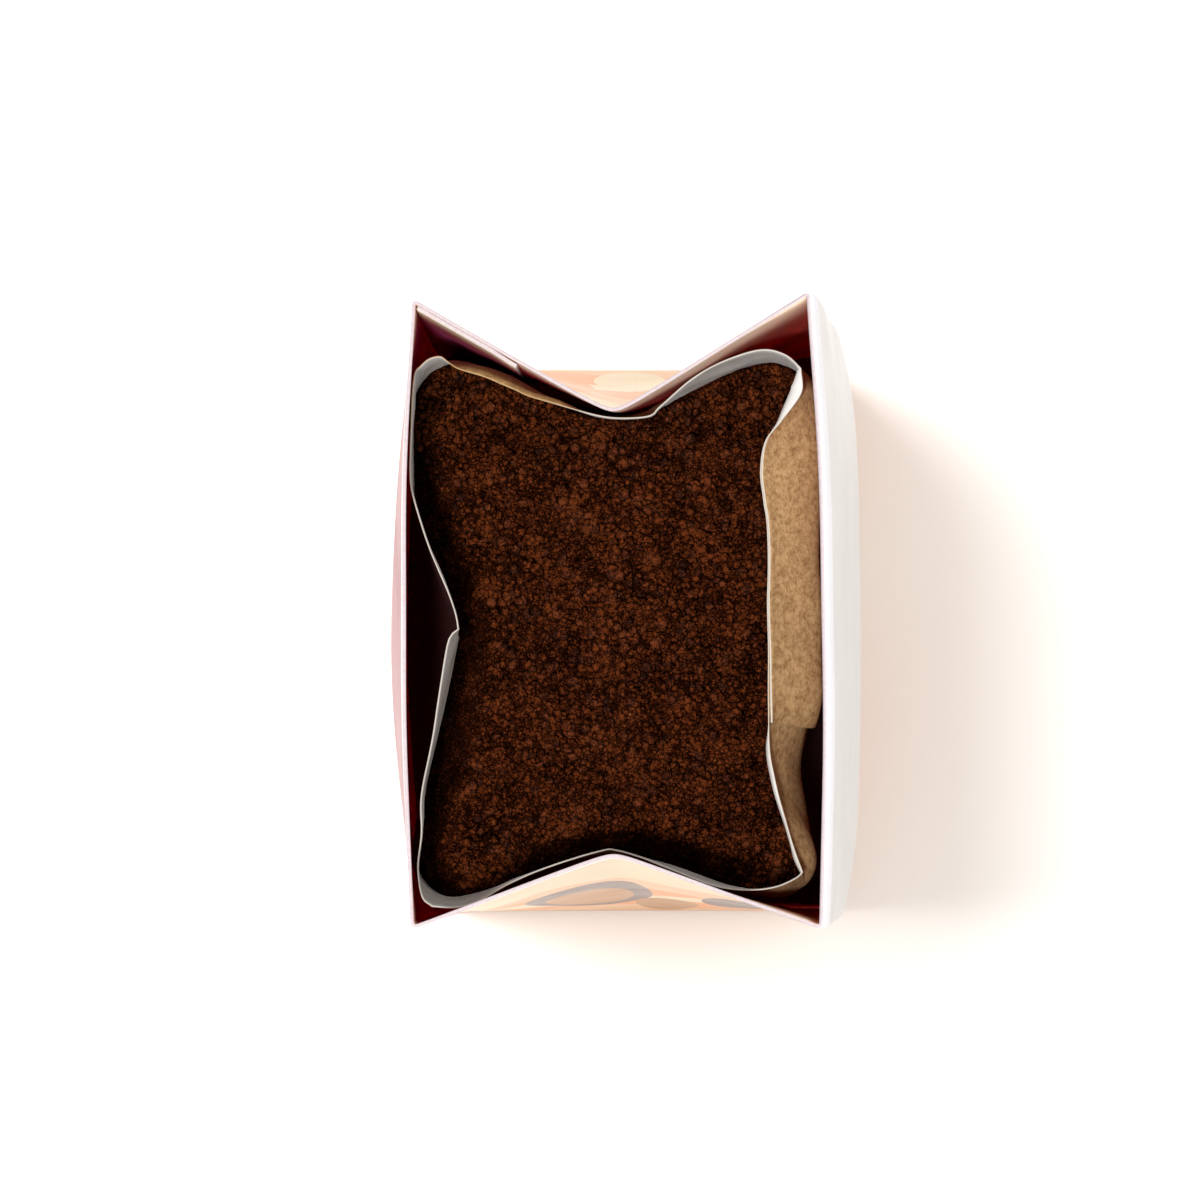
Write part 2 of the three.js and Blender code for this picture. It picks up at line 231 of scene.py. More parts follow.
def pack_rings():
    """The board's two faces: the outside from the base's edge up, then the inside down to the floor."""
    t = 1 - (1 - np.linspace(0.0, 1.0, PACK_ROWS)) ** ROW_CROWD
    z = BASE_EDGE + (PACK_HEIGHT - BASE_EDGE) * t
    x, y = pack_outline(z, 0.0, PACK_CORNER, PACK_COUNTS)
    x, y = waved(x + rim_roll(x, z[:, None]), y, z[:, None])
    low_x, low_y = pack_outline([0.0], 0.0, PACK_CORNER, PACK_COUNTS)
    knee_height = BASE_KNEE * BASE_EDGE
    foot = lines_of(*inset(low_x, low_y, BASE_EDGE), 0.0)
    knee = lines_of(*inset(low_x, low_y, knee_height), knee_height)
    outside = lines_of(x, y, z[:, None])
    inside = lines_of(*inset(x, y, BOARD), z[:, None])[::-1]
    floor = lines_of(*inset(x[:1], y[:1], BOARD), BOARD)
    heights = np.concatenate([[0.0, knee_height], z, z[::-1], [BOARD]])
    return np.concatenate([foot, knee, outside, inside, floor]), heights


def round_places(points):
    """Each column's distance round the ring, scaled to the flat sheet's width, with the end added."""
    steps = np.linalg.norm(np.roll(points, -1, 0) - points, axis=1)
    whole = np.concatenate([[0.0], np.cumsum(steps)])
    return whole / whole[-1] * AROUND


def linear(hex_colour):
    """An sRGB hex colour as linear red, green, blue and alpha: the sRGB curve, channel by channel."""
    parts = [int(hex_colour[i:i + 2], 16) / 255 for i in (1, 3, 5)]
    return tuple(c / 12.92 if c <= 0.04045 else ((c + 0.055) / 1.055) ** 2.4 for c in parts) + (1.0,)


def feed(tree, node, inputs):
    """Sets a node's inputs by name or number: each a value, a socket, or a node for its first output in use.

    A Map Range takes its value, the two ends that it reads and the two that it gives as 0 to 4. A Mix takes
    its share as 0 and its colours as 6 and 7.
    """
    for key, value in inputs.items():
        if isinstance(value, bpy.types.Node):
            value = next(socket for socket in value.outputs if socket.enabled)
        if isinstance(value, bpy.types.NodeSocket):
            tree.links.new(value, node.inputs[key])
        else:
            node.inputs[key].default_value = value


def add(tree, kind, inputs=None, **settings):
    """Adds a shader node: settings are its own properties, and inputs are as feed takes them."""
    made = tree.nodes.new("ShaderNode" + kind)
    for key, value in settings.items():
        setattr(made, key, value)
    feed(tree, made, inputs or {})
    return made


def between(ends):
    """The two ends that a Map Range reads, from a pair of places in millimetres."""
    return {1: ends[0] * MM, 2: ends[1] * MM}


def start_material(name, **sockets):
    """A new material with its Principled shader, whose constant sockets are set by name."""
    material = bpy.data.materials.new(name)
    material.use_nodes = True
    shader = material.node_tree.nodes["Principled BSDF"]
    for key, value in sockets.items():
        shader.inputs[key.replace("_", " ")].default_value = value
    return material, material.node_tree, shader


# Satin coated board, printed: a smooth clay coat with a soft gloss. The print is flat fields of warm colour,
# layered like dunes, and a few tall ovals. It runs low across the plain white and the pink face, which wrap a
# little round their corners, and stops below a pale bluish band of bare board along the mouth, painted
# brighter than the white face as a painted highlight along the rim. A dune has its level, rise, number of
# waves round the pack, phase and ink, and an oval its place round and up, its radius and its ink.
WHITE_FACE = "#cfcecd"
PINK_FACE = "#a77176"
CREAM = "#d2be9b"
PEACH = "#d68e58"
PALE_PEACH = "#d5a880"
TAUPE = "#75625a"
TAN = "#ad7c4e"
RIM_HIGHLIGHT_BAND = "#dfdfe3"
RIM_HIGHLIGHT_FROM = 167.4
FACE_WRAP = 8.0
DUNES = (
    (118.0, 11.0, 8, 0.4, PALE_PEACH), (92.0, 12.0, 6, 2.1, PEACH), (66.0, 10.0, 8, 4.9, CREAM),
    (42.0, 9.0, 6, 5.2, PEACH), (18.0, 5.0, 8, 1.7, PALE_PEACH),
)
OVAL_STRETCH = 4.0
OVALS = (
    (207.0, 62.0, 8.5, TAUPE), (236.0, 70.0, 11.5, TAUPE), (236.0, 64.0, 8.0, TAN), (222.0, 30.0, 6.0, TAN),
    (22.0, 74.0, 10.0, PEACH), (54.0, 90.0, 9.0, CREAM), (54.0, 84.0, 4.5, PALE_PEACH),
    (38.0, 34.0, 7.0, CREAM),
)
FACE_DIP = 84.0
DIP_EDGE = (-0.85, -0.3)
INK_EDGE = 0.06
SPREAD = {1: 0.3, 2: 0.7}


def covered(tree, colour, depth, tint):
    """Lays a flat ink over a colour wherever depth, in millimetres inside the ink's edge, is above nought."""
    cover = add(tree, "MapRange", {0: depth, 1: -INK_EDGE, 2: INK_EDGE})
    return add(tree, "Mix", {0: cover, 6: colour, 7: linear(tint)}, data_type="RGBA")


def printed_board():
    """Each dune covers what lies below its line: a height plus a sine of the way round, lower on the faces.

    Noise, which mostly stays within SPREAD, mottles the tone and the gloss a little.
    """
    material, tree, shader = start_material("printed_clay_coated_board", Roughness=0.42, IOR=1.5)
    sheet = add(tree, "UVMap", uv_map="Sheet")
    split = add(tree, "SeparateXYZ", {0: sheet})
    way, height = split.outputs[0], split.outputs[1]
    right_end = GUSSET_WIDTH + FACE_WIDTH
    right_in = add(tree, "Math", {0: way, 1: FACE_WRAP - GUSSET_WIDTH}, operation="ADD")
    right_out = add(tree, "Math", {0: right_end + FACE_WRAP, 1: way}, operation="SUBTRACT")
    on_right = add(tree, "Math", {0: right_in, 1: right_out}, operation="MINIMUM")
    on_left = add(tree, "Math", {0: way, 1: FACE_WRAP - right_end - GUSSET_WIDTH}, operation="ADD")
    colour = covered(tree, linear(CREAM), on_right, WHITE_FACE)
    colour = covered(tree, colour, on_left, PINK_FACE)
    middle = add(tree, "Math", {0: way, 1: GUSSET_WIDTH + FACE_WIDTH / 2}, operation="SUBTRACT")
    turned = add(tree, "Math", {0: middle, 1: 2 * np.pi / (AROUND / 2)}, operation="MULTIPLY")
    faces = add(tree, "Math", {0: turned}, operation="COSINE")
    dip = add(tree, "MapRange", {0: faces, 1: DIP_EDGE[0], 2: DIP_EDGE[1], 4: FACE_DIP},
              interpolation_type="SMOOTHSTEP")
    for level, rise, waves, phase, tint in DUNES:
        turn = add(tree, "Math", {0: way, 1: 2 * np.pi * waves / AROUND, 2: phase}, operation="MULTIPLY_ADD")
        sine = add(tree, "Math", {0: turn}, operation="SINE")
        line = add(tree, "Math", {0: sine, 1: rise, 2: level}, operation="MULTIPLY_ADD")
        low = add(tree, "Math", {0: dip, 1: -level / DUNES[0][0], 2: line}, operation="MULTIPLY_ADD")
        under = add(tree, "Math", {0: low, 1: height}, operation="SUBTRACT")
        colour = covered(tree, colour, under, tint)
    squat = add(tree, "VectorMath", {0: sheet, 1: (1.0, 1 / OVAL_STRETCH, 1.0)}, operation="MULTIPLY")
    for way_mid, height_mid, radius, tint in OVALS:
        spot = (way_mid, height_mid / OVAL_STRETCH, 0.0)
        apart = add(tree, "VectorMath", {0: squat, 1: spot}, operation="DISTANCE")
        inside = add(tree, "Math", {0: radius, 1: apart}, operation="SUBTRACT")
        colour = covered(tree, colour, inside, tint)
    # Painted highlight: a pale bluish band of bare board along the mouth, brighter than the white face.
    over = add(tree, "Math", {0: height, 1: -RIM_HIGHLIGHT_FROM}, operation="ADD")
    colour = covered(tree, colour, over, RIM_HIGHLIGHT_BAND)
    place = add(tree, "TexCoord").outputs["Object"]
    mottle = add(tree, "TexNoise", {"Vector": place, "Scale": 0.9 / MM, "Detail": 3.0})
    tone = add(tree, "MapRange", {0: mottle, **SPREAD, 3: 0.975, 4: 1.015})
    worn = add(tree, "VectorMath", {0: colour, "Scale": tone}, operation="SCALE")
    sheen = add(tree, "TexNoise", {"Vector": place, "Scale": 0.06 / MM, "Detail": 4.0})
    rough = add(tree, "MapRange", {0: sheen, **SPREAD, 3: 0.36, 4: 0.5})
    grain = add(tree, "Bump", {"Strength": 0.12, "Distance": 0.1 * MM, "Height": mottle})
    feed(tree, shader, {"Base Color": worn, "Roughness": rough, "Normal": grain})
    return material


# The board's cut edge: pressed pulp, open and matte, a little duller than the coat.
EDGE_PALE = "#d8ccd3"
EDGE_PULP = "#bba9a6"


def cut_edge():
    """Fine fibre lines along the edge: noise stretched flat, between two pulp colours."""
    material, tree, shader = start_material("cut_board_edge", Roughness=0.9)
    place = add(tree, "TexCoord").outputs["Object"]
    flat = add(tree, "Mapping", {0: place, 3: (1.0, 1.0, 6.0)})
    fibre = add(tree, "TexNoise", {"Vector": flat, "Scale": 1.4 / MM, "Detail": 3.0})
    tint = add(tree, "Mix", {0: fibre, 6: linear(EDGE_PULP), 7: linear(EDGE_PALE)}, data_type="RGBA")
    feed(tree, shader, {"Base Color": tint})
    return material


# The inside of the board: flooded with dark red ink under a satin varnish, more purple in the left corners,
# and painted lighter and browner towards the near right as painted light. Towards the mouth it fades to a
# pale beige as a painted sheen of light, but hardly on the right face, which stands in shade.
MOUTH_LIGHT_PALE = "#efdcc4"
MOUTH_LIGHT_UMBER = "#b06a58"
WINE = "#cc4c84"
OXBLOOD = "#d04c52"
PAINTED_LIGHT_BROWN = "#b8622e"
BLEED = (1.0, 0.6, 0.75)
BLEED_REACH = 1.3
WINE_ACROSS = (-36.0, -4.0)
PAINTED_LIGHT_ACROSS = (4.0, 36.0)
PAINTED_LIGHT_ALONG = (36.0, -4.0)
PAINTED_LIGHT_LEAST = 0.35
MOUTH_LIGHT_FADES = ((138.0, 164.0, MOUTH_LIGHT_UMBER), (152.0, 168.5, MOUTH_LIGHT_PALE))
SHADED_FACE_ACROSS = (32.5, 33.8)
SHADED_FACE_FADE = 0.15


def maroon_flood():
    """Ink tones by the place across the pack and down from the mouth, clouded by slow noise, under a varnish.
    Towards the near right and the mouth the tones are painted light.

    A little light bleeds through the board, red, because it is thinner than a millimetre.
    """
    material, tree, shader = start_material(
        "wine_red_varnished_board", IOR=1.5, Coat_Weight=0.2, Coat_Roughness=0.35, Subsurface_Weight=0.7,
        Subsurface_Radius=BLEED, Subsurface_Scale=BLEED_REACH * MM)
    place = add(tree, "TexCoord").outputs["Object"]
    x, y, z = add(tree, "SeparateXYZ", {0: place}).outputs
    # Painted light: the ink turns lighter and browner towards the right face and the near side.
    right = add(tree, "MapRange", {0: x, **between(PAINTED_LIGHT_ACROSS)}, interpolation_type="SMOOTHSTEP")
    near = add(tree, "MapRange", {0: y, **between(PAINTED_LIGHT_ALONG), 3: PAINTED_LIGHT_LEAST},
               interpolation_type="SMOOTHSTEP")
    painted_light = add(tree, "Math", {0: right, 1: near}, operation="MULTIPLY")
    # The painted light at the mouth is cut to a small share on the right face, which stands in shade.
    painted_share = add(tree, "MapRange", {0: x, **between(SHADED_FACE_ACROSS), 3: 1.0, 4: SHADED_FACE_FADE})
    left = add(tree, "MapRange", {0: x, **between(WINE_ACROSS)}, interpolation_type="SMOOTHSTEP")
    cloud = add(tree, "TexNoise", {"Vector": place, "Scale": 0.045 / MM, "Detail": 5.0})
    cool = add(tree, "Mix", {0: left, 6: linear(WINE), 7: linear(OXBLOOD)}, data_type="RGBA")
    colour = add(tree, "Mix", {0: painted_light, 6: cool, 7: linear(PAINTED_LIGHT_BROWN)}, data_type="RGBA")
    # Painted light: towards the mouth the ink turns umber, then pale beige, as a sheen of light.
    for foot, top, tint in MOUTH_LIGHT_FADES:
        fade = add(tree, "MapRange", {0: z, **between((foot, top))}, interpolation_type="SMOOTHSTEP")
        amount = add(tree, "Math", {0: fade, 1: painted_share}, operation="MULTIPLY")
        colour = add(tree, "Mix", {0: amount, 6: colour, 7: linear(tint)}, data_type="RGBA")
    tone = add(tree, "MapRange", {0: cloud, **SPREAD, 3: 0.82, 4: 1.12})
    tint = add(tree, "VectorMath", {0: colour, "Scale": tone}, operation="SCALE")
    rough = add(tree, "MapRange", {0: cloud, **SPREAD, 3: 0.34, 4: 0.5})
    tooth = add(tree, "TexNoise", {"Vector": place, "Scale": 1.2 / MM, "Detail": 2.0})
    grain = add(tree, "Bump", {"Strength": 0.15, "Distance": 0.1 * MM, "Height": tooth})
    feed(tree, shader, {"Base Color": tint, "Roughness": rough, "Normal": grain})
    return material


rings, ring_heights = pack_rings()
cad_low, cad_high = (np.array(corner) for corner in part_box("outer_pack"))
own_middle = (rings.reshape(-1, 3).min(0) + rings.reshape(-1, 3).max(0)) / 2
PLACE = (cad_low + cad_high) / 2 / MM - own_middle
PLACE[2] = 0.0
outer_rows = PACK_ROWS + 1
pack_bands = np.array([0] * outer_rows + [1] + [2] * PACK_ROWS)
pack = shell_piece("board_pack", rings, round_places(rings[outer_rows]), ring_heights, pack_bands, PLACE)
for material in (printed_board(), cut_edge(), maroon_flood()):
    pack.data.materials.append(material)
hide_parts("outer_pack")
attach(pack, BODY)

# The glue tab.
# A flap of the same board, creased round the far left corner and glued flat inside the far gusset. Its end is
# cut straight, and near the mouth it has come a little loose, which leaves a slit between the two plies.
TAB_START = 1.1
TAB_LENGTH = 21.2
TAB_TOP = 169.8
TAB_FOOT = 12.0
TAB_GAP = 0.04
TAB_LIFT = 0.22
TAB_LOOSE = {"share": 0.72, "from": 60.0}
TAB_STEPS = (60, 40)


def tab_points():
    """The tab's two faces: the gusset's inner outline, set in by the board, lifted smoothly at its end."""
    along, up = TAB_STEPS
    z = np.linspace(TAB_FOOT, TAB_TOP, up)
    x, y = waved(*pack_outline(z, 0.0, PACK_CORNER, PACK_COUNTS), z[:, None])
    steps = np.hypot(np.diff(x, axis=1), np.diff(y, axis=1))
    way = np.concatenate([np.zeros((up, 1)), np.cumsum(steps, 1)], 1)
    goal = np.linspace(TAB_START, TAB_LENGTH, along)
    ended = ease(TAB_LOOSE["share"], 1.0, goal / TAB_LENGTH)[None, :]
    lift = TAB_LIFT * ended * ease(TAB_LOOSE["from"], TAB_TOP, z)[:, None]
    faces = []
    for depth in (BOARD + TAB_GAP, 2 * BOARD + TAB_GAP):
        near_x, near_y = inset(x, y, depth)
        px = np.stack([np.interp(goal, way[k], near_x[k]) for k in range(up)])
        py = np.stack([np.interp(goal, way[k], near_y[k]) for k in range(up)])
        slope_x, slope_y = np.gradient(px, axis=1), np.gradient(py, axis=1)
        size = np.hypot(slope_x, slope_y)
        faces.append(lines_of(px + slope_y / size * lift, py - slope_x / size * lift, z[:, None]))
    return faces


def slab_piece(name, outer, inner, place):
    """A thin slab between two grids of points: both faces, and four edges in the second material."""
    rows, columns = outer.shape[:2]
    points = np.concatenate([outer.reshape(-1, 3), inner.reshape(-1, 3)])
    number = np.arange(rows * columns).reshape(rows, columns)
    back = number + rows * columns
    a, b, c, d = number[:-1, :-1], number[1:, :-1], number[1:, 1:], number[:-1, 1:]
    front = np.stack([a, b, c, d], -1).reshape(-1, 4)
    a, b, c, d = back[:-1, :-1], back[:-1, 1:], back[1:, 1:], back[1:, :-1]
    rear = np.stack([a, b, c, d], -1).reshape(-1, 4)
    rim = np.concatenate([number[0, :], number[1:, -1], number[-1, -2::-1], number[-2:0:-1, 0]])
    rim_back = rim + rows * columns
    edge = np.stack([rim, np.roll(rim, -1), np.roll(rim_back, -1), rim_back], -1)
    quads = np.concatenate([front, rear, edge])
    piece = fill_mesh(name, points, quads.reshape(-1), np.full(len(quads), 4), True, place)
    numbers = np.zeros(len(quads), np.int32)
    numbers[len(front) + len(rear):] = 1
    piece.data.polygons.foreach_set("material_index", numbers)
    return piece


tab_outer, tab_inner = tab_points()
tab = slab_piece("glue_tab", tab_outer, tab_inner, PLACE)
tab.data.materials.append(pack.data.materials[2])
tab.data.materials.append(pack.data.materials[1])
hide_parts("outer_pack")
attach(tab, BODY)

# The liner.
# A bag of brown kraft paper with a pale grey coat inside, made as a tube with its own gussets and dropped
# into the pack. Opened by hand, its collar is crumpled: it leans in on the right and is dented on the left.
PAPER = 0.16
LINER_NEST = 1.6
LINER_FLOOR = 1.1
LINER_EDGE = 1.0
LINER_FOOT_CORNER = 6.0
LINER_CORNER = 9.0
SHOULDER = {"left": -37.5, "right": 35.8, "far": 46.6, "near": -50.9, "far_fold": 9.9, "near_fold": 8.0}
SHOULDER_START = 80.0
SHOULDER_HEIGHT = 132.0
FOLD_REACH = {"far": 0.8, "near": 0.95}
PINCH = {"y": -28.0, "depth": 3.1, "spread": 12.0}
DENT = {"y": -3.0, "depth": 8.6, "far": 25.0, "near": 38.0}
FLAP = {"start": 149.0, "from": 31.0, "to": 35.5}
CREASE = {"out": 0.95, "height": 158.2, "left": (-31.0, -25.0), "right": (-12.0, -4.0), "y": (30.0, 36.0)}
CRUMPLE = {"deep": 0.32, "fine": 0.12, "mean": 0.73, "phase": 1.3, "lost": 0.7, "below": 10.0, "above": 12.0}
CRUMPLE_WAVES = ((9.0, 8.0), (13.0, -11.0), (2.6, 5.0))
LIP = {"depth": 0.2, "from": 149.0, "peak": 158.4, "end": 160.4, "x": (18.0, 26.0)}
LIP_ENDS = ((0.75, (-46.5, -42.0), (-24.0, -17.0)), (2.3, (26.0, 38.5), (40.0, 44.5)))
RIM_HEIGHT = 160.0
RIM_WAVE = {"height": 0.7, "x": 44.0, "y": 69.0}
COLLAR_OVERRUN = 4.0
LINER_COUNTS = {"far": 140, "right": 140, "near": 136, "left": 148}
LOW_ROWS = 12
COLLAR_ROWS = 40
SPAN_STEPS = 24
RIM = {
    "far": ((-34.5, 44.1), (-33, 45.3), (-31, 45.7), (-29.7, 44.8), (-28, 43.6), (-25.3, 42.7), (-22.7, 41.9),
            (-18, 39.9), (-14.6, 38.3), (-6.5, 36), (-0.5, 34.8), (5.6, 35.2), (7.6, 36.9), (13.2, 41.5),
            (19.1, 44.8), (25.5, 46.7), (29.8, 45.8), (32.7, 43.4)),
    "right": ((32.7, 43.4), (33, 39), (29.3, 33.9), (26.5, 30.4), (25.5, 25), (26, 20), (26.8, 12),
              (26.9, -19), (28.1, -29), (30.4, -37.8), (32.9, -45.3)),
    "near": ((32.9, -45.3), (31.6, -46.4), (28.1, -47.9), (23.5, -48.5), (17.9, -47.9), (10, -45.2),
             (4.4, -42.8), (0, -41.5), (-2.5, -41.6), (-10.6, -44), (-18.6, -47.4), (-23.9, -50.3),
             (-28.1, -51.6), (-32.4, -51.4)),
    "left": ((-32.4, -51.4), (-34.2, -49.6), (-35, -44.5), (-34.4, -38.4), (-34.3, -31.2), (-32, -18.9),
             (-29.7, -5.2), (-28.1, -2.9), (-27.9, -2.2), (-28.8, 1.4), (-32.9, 11.5), (-35.7, 20.2),
             (-36.4, 25), (-36.3, 34), (-35.7, 42.2), (-34.5, 44.1)),
}


def soft_fold(across, reach):
    """How far the paper's gusset reaches in: a raised cosine that dies out before the corners."""
    return np.cos(np.minimum(np.abs(across) / reach, 1.0) * np.pi / 2) ** 2


def liner_outline(height):
    """The liner's outline up to its shoulder: nested in the pack low down, drawn in to its own above."""
    height = np.asarray(height, float).reshape(-1, 1)
    draw = ease(SHOULDER_START, SHOULDER_HEIGHT, height)
    corner = LINER_FOOT_CORNER + (LINER_CORNER - LINER_FOOT_CORNER) * draw
    low_x, low_y = pack_outline(height, LINER_NEST, corner, LINER_COUNTS)
    s = SHOULDER
    sides = (np.full((1, 1), s[name]) for name in ("left", "right", "far", "near"))
    x, y = rounded_ring(*sides, LINER_CORNER, LINER_COUNTS)
    across = (x - (s["left"] + s["right"]) / 2) / ((s["right"] - s["left"]) / 2)
    far_push = -s["far_fold"] * y / s["far"] * soft_fold(across, FOLD_REACH["far"])
    near_push = s["near_fold"] * y / s["near"] * soft_fold(across, FOLD_REACH["near"])
    push = np.where(y > 0, far_push, near_push)
    pinch = PINCH["depth"] * np.exp(-((y - PINCH["y"]) / PINCH["spread"]) ** 2) * np.maximum(across, 0)
    arm = np.where(y > DENT["y"], DENT["far"], DENT["near"])
    dent = DENT["depth"] * np.maximum(1 - np.abs(y - DENT["y"]) / arm, 0) * np.maximum(-across, 0)
    return low_x + (x - pinch + dent - low_x) * draw, low_y + (y + push - low_y) * draw


def smooth_run(knots, count, crowd):
    """A smooth curve through the knots, walked by its length: each span is a cubic of the nearest four."""
    p = np.asarray(knots, float)
    p = np.concatenate([[2 * p[0] - p[1]], p, [2 * p[-1] - p[-2]]])
    t = np.linspace(0, 1, SPAN_STEPS, endpoint=False)[None, :, None]
    a, b, c, d = p[:-3, None], p[1:-2, None], p[2:-1, None], p[3:, None]
    square = 2 * a - 5 * b + 4 * c - d
    cube = 3 * b - a - 3 * c + d
    spans = 0.5 * (2 * b + (c - a) * t + square * t ** 2 + cube * t ** 3)
    path = np.concatenate([spans.reshape(-1, 2), p[-2:-1]])
    way = np.concatenate([[0.0], np.cumsum(np.linalg.norm(np.diff(path, axis=0), axis=1))])
    goal = crowded(count, crowd) * way[-1]
    return np.interp(goal, way, path[:, 0]), np.interp(goal, way, path[:, 1])


def rim_outline():
    """The crumpled rim, run by run, with as many points as the outline below it."""
    runs = [smooth_run(RIM[name], LINER_COUNTS[name], knots) for name, knots in KNOTS.items()]
    return [np.concatenate(parts)[None, :] for parts in zip(*runs)]


def crumple(way, z):
    """The paper's dents: crossing folded sines and a fine one, strongest halfway up the collar."""
    c = CRUMPLE
    up = ease(SHOULDER_HEIGHT - c["below"], SHOULDER_HEIGHT + c["above"], z)
    up = up * (1 - c["lost"] * ease(RIM_HEIGHT - c["below"], RIM_HEIGHT, z))
    first, second, fine = (way / length + z / rise for length, rise in CRUMPLE_WAVES)
    ridge = 1 - np.abs(np.sin(first)) + 1 - np.abs(np.sin(second + c["phase"]))
    return c["deep"] * up * (ridge - c["mean"]) + c["fine"] * up * np.sin(fine)


def hump(rise, fall, value):
    """A smooth step up between the first pair of values, and one down between the second."""
    return ease(*rise, value) * (1 - ease(*fall, value))


def lip(x, y, z):
    """How far the paper bellies inwards just below its rim: more at the right side's two ends."""
    more = sum(depth * hump(rise, fall, y) for depth, rise, fall in LIP_ENDS)
    level = hump((LIP["from"], LIP["peak"]), (LIP["peak"], LIP["end"]), z)
    return (LIP["depth"] + more * ease(*LIP["x"], x)) * level


def crease(x, y, z):
    """How far the paper stands out at the crease below the rim's far left arm: a ramp up and one down."""
    far = hump(CREASE["left"], CREASE["right"], x) * ease(*CREASE["y"], y)
    up = ease(SHOULDER_HEIGHT, CREASE["height"], z)
    down = np.clip((RIM_HEIGHT - z) / (RIM_HEIGHT - CREASE["height"]), 0.0, 1.0)
    return CREASE["out"] * far * up * down


def liner_rings():
    """The paper's two faces: the outside up to the waved rim, then the inside down to the floor."""
    low = np.linspace(LINER_FLOOR + LINER_EDGE, SHOULDER_HEIGHT, LOW_ROWS, endpoint=False)
    high = SHOULDER_HEIGHT + (RIM_HEIGHT - SHOULDER_HEIGHT) * np.linspace(0, 1, COLLAR_ROWS)
    low_x, low_y = liner_outline(low)
    shoulder_x, shoulder_y = liner_outline([SHOULDER_HEIGHT])
    rim_x, rim_y = rim_outline()
    right = ease(FLAP["from"], FLAP["to"], shoulder_x) * (FLAP["start"] - SHOULDER_HEIGHT)
    reach = ease(SHOULDER_HEIGHT + right, RIM_HEIGHT + COLLAR_OVERRUN, high[:, None])
    reach = reach / reach[-1:]
    x = np.concatenate([low_x, shoulder_x + (rim_x - shoulder_x) * reach])
    y = np.concatenate([low_y, shoulder_y + (rim_y - shoulder_y) * reach])
    z = np.concatenate([low, high])[:, None]
    way = round_places(np.stack([shoulder_x[0], shoulder_y[0]], -1))
    x, y = inset(x, y, crumple(way[None, :-1], z) + lip(x, y, z) - crease(x, y, z))
    swing = np.sin(2 * np.pi * (x / RIM_WAVE["x"] + y / RIM_WAVE["y"]))
    wave = RIM_WAVE["height"] * swing * ease(SHOULDER_HEIGHT, RIM_HEIGHT, z)
    outside = lines_of(x, y, z + wave)
    inside = lines_of(*inset(x, y, PAPER), z + wave)[::-1]
    foot = lines_of(*inset(x[:1], y[:1], LINER_EDGE), LINER_FLOOR)
    floor = lines_of(*inset(x[:1], y[:1], LINER_EDGE + PAPER), LINER_FLOOR + PAPER)
    heights = np.concatenate([[LINER_FLOOR], z[:, 0], z[::-1, 0], [LINER_FLOOR]])
    return np.concatenate([foot, outside, inside, floor]), heights, way


# Brown kraft: unbleached pulp, matte, with short darker and lighter fibres. A fibre is about 2 mm long and
# 0.05 mm thick, and is drawn about 0.2 mm thick so that it shows. Low down, and all down the left side, it is
# painted dark brown as painted shade, which starts and is full at the places given across, along and up.
KRAFT = "#c8a676"
KRAFT_DARK = "#876339"
KRAFT_FIBRE = "#6e4c29"
KRAFT_FLECK = "#d8bd96"
KRAFT_PAINTED_SHADE = "#3c1614"
PAINTED_SHADE_FROM = ((-26.2, -28.5), (34.0, 28.0), (137.0, 128.0))
FIBRES = ((0.5, 0.7, KRAFT_FIBRE), (-0.9, 0.7, KRAFT_FIBRE), (1.4, 0.72, KRAFT_FLECK))
FIBRE_LEAST = 0.62
FIBRE_SHARE = 0.5
FIBRE_CELLS = (0.8, 5.0, 1.0)


def brown_kraft():
    """Faintly cloudy pulp from noise, fibres from noise stretched along the sheet three ways, and the painted
    shade.
    """
    material, tree, shader = start_material("brown_kraft_paper", Roughness=0.88, Specular_IOR_Level=0.25)
    sheet = add(tree, "UVMap", uv_map="Sheet")
    place = add(tree, "TexCoord").outputs["Object"]
    cloud = add(tree, "TexNoise", {"Vector": place, "Scale": 0.78 / MM, "Detail": 6.0, "Roughness": 0.8})
    pulp = add(tree, "MapRange", {0: cloud, 1: 0.34, 2: 0.6})
    colour = add(tree, "Mix", {0: pulp, 6: linear(KRAFT_DARK), 7: linear(KRAFT)}, data_type="RGBA")
    for turn, full, ink in FIBRES:
        laid = add(tree, "Mapping", {0: sheet, 2: (0.0, 0.0, turn), 3: FIBRE_CELLS})
        fibre = add(tree, "TexNoise", {"Vector": laid, "Scale": 1.0, "Detail": 2.0})
        strand = add(tree, "MapRange", {0: fibre, 1: FIBRE_LEAST, 2: full, 4: FIBRE_SHARE})
        colour = add(tree, "Mix", {0: strand, 6: colour, 7: linear(ink)}, data_type="RGBA")
    # Painted shade: the kraft turns dark brown low down, and on the left side short of its far end.
    axes = add(tree, "SeparateXYZ", {0: place}).outputs
    sides = [add(tree, "MapRange", {0: axis, **between(ends)}) for axis, ends in zip(axes, PAINTED_SHADE_FROM)]
    left = add(tree, "Math", {0: sides[0], 1: sides[1]}, operation="MULTIPLY")
    painted_share = add(tree, "Math", {0: left, 1: sides[2]}, operation="MAXIMUM")
    dark = add(tree, "Mix", {0: painted_share, 6: colour, 7: linear(KRAFT_PAINTED_SHADE)}, data_type="RGBA")
    tooth = add(tree, "TexNoise", {"Vector": place, "Scale": 1.5 / MM, "Detail": 4.0})
    grain = add(tree, "Bump", {"Strength": 0.4, "Distance": 0.1 * MM, "Height": tooth})
    feed(tree, shader, {"Base Color": dark, "Normal": grain})
    return material


# The liner's inner coat: pale grey, smooth and slightly greasy from the coffee, so it has a soft sheen.
COAT_GREY = "#e2e0de"
COAT_STAIN = "#c9bfb4"


